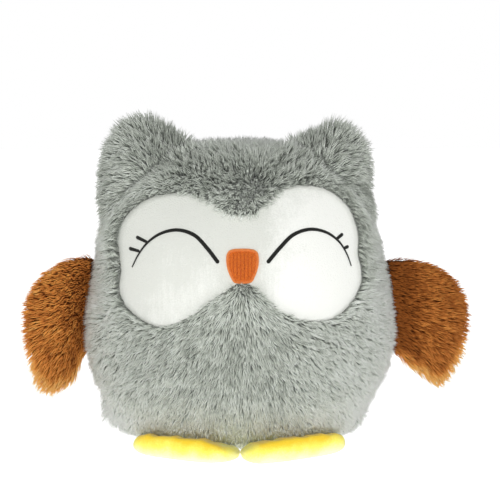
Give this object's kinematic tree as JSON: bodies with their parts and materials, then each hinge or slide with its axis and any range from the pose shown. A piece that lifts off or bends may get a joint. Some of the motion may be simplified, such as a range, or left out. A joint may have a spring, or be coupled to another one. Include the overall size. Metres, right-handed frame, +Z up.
{
  "type": "plush owl",
  "caption": "Stuffed plush owl that sits on a flat base, with a smooth white face, embroidered closed eyes and beak, stuffed ears, and wings and feet that flap on their seams.",
  "frame": {"origin": "middle of the flat face of the base panel that the owl sits on", "axes": "+Z up, the face looks along -Y, and +X is the owl's own left, across both wings"},
  "size_m": [0.3577, 0.157, 0.2609],
  "materials": {
    "grey_plush": "long soft grey pile plush",
    "brown_plush": "long soft reddish brown pile plush",
    "white_velboa": "short smooth white pile",
    "yellow_velboa": "short smooth yellow pile",
    "black_thread": "black satin-stitched thread",
    "orange_thread": "orange satin-stitched thread",
    "fibre_fill": "white polyester fibre, hidden"
  },
  "bodies": {
    "owl_body": {"front_panel": "grey_plush", "back_panel": "grey_plush", "base_panel": "grey_plush", "body_stuffing": "fibre_fill", "face_patch": "white_velboa", "eye_left": "black_thread", "eye_right": "black_thread", "beak": "orange_thread", "ear_left_front_panel": "grey_plush", "ear_left_back_panel": "grey_plush", "ear_left_stuffing": "fibre_fill", "ear_right_front_panel": "grey_plush", "ear_right_back_panel": "grey_plush", "ear_right_stuffing": "fibre_fill"},
    "wing_left": {"wing_left_front_panel": "brown_plush", "wing_left_back_panel": "brown_plush", "wing_left_stuffing": "fibre_fill"},
    "wing_right": {"wing_right_front_panel": "brown_plush", "wing_right_back_panel": "brown_plush", "wing_right_stuffing": "fibre_fill"},
    "foot_left": {"foot_left_top_panel": "yellow_velboa", "foot_left_sole_panel": "yellow_velboa", "foot_left_padding": "fibre_fill"},
    "foot_right": {"foot_right_top_panel": "yellow_velboa", "foot_right_sole_panel": "yellow_velboa", "foot_right_padding": "fibre_fill"}
  },
  "joints": [
    {"name": "wing_left_flap", "type": "hinge", "parent": "owl_body", "child": "wing_left", "pos_m": [0.12671, 0, 0.06184], "axis": [0.0717, 0, -0.9974], "range_deg": [-60, 60], "stiffness_Nm_per_rad": 0.01},
    {"name": "wing_right_flap", "type": "hinge", "parent": "owl_body", "child": "wing_right", "pos_m": [-0.12671, 0, 0.06184], "axis": [0.0717, 0, 0.9974], "range_deg": [-98, 22], "stiffness_Nm_per_rad": 0.01},
    {"name": "foot_left_tip", "type": "hinge", "parent": "owl_body", "child": "foot_left", "pos_m": [0.0441, -0.05218, 0.005], "axis": [-0.9486, -0.3166, 0], "range_deg": [-15, 20], "stiffness_Nm_per_rad": 0.01},
    {"name": "foot_right_tip", "type": "hinge", "parent": "owl_body", "child": "foot_right", "pos_m": [-0.0441, -0.05218, 0.005], "axis": [-0.9486, 0.3166, 0], "range_deg": [-15, 20], "stiffness_Nm_per_rad": 0.01}
  ]
}
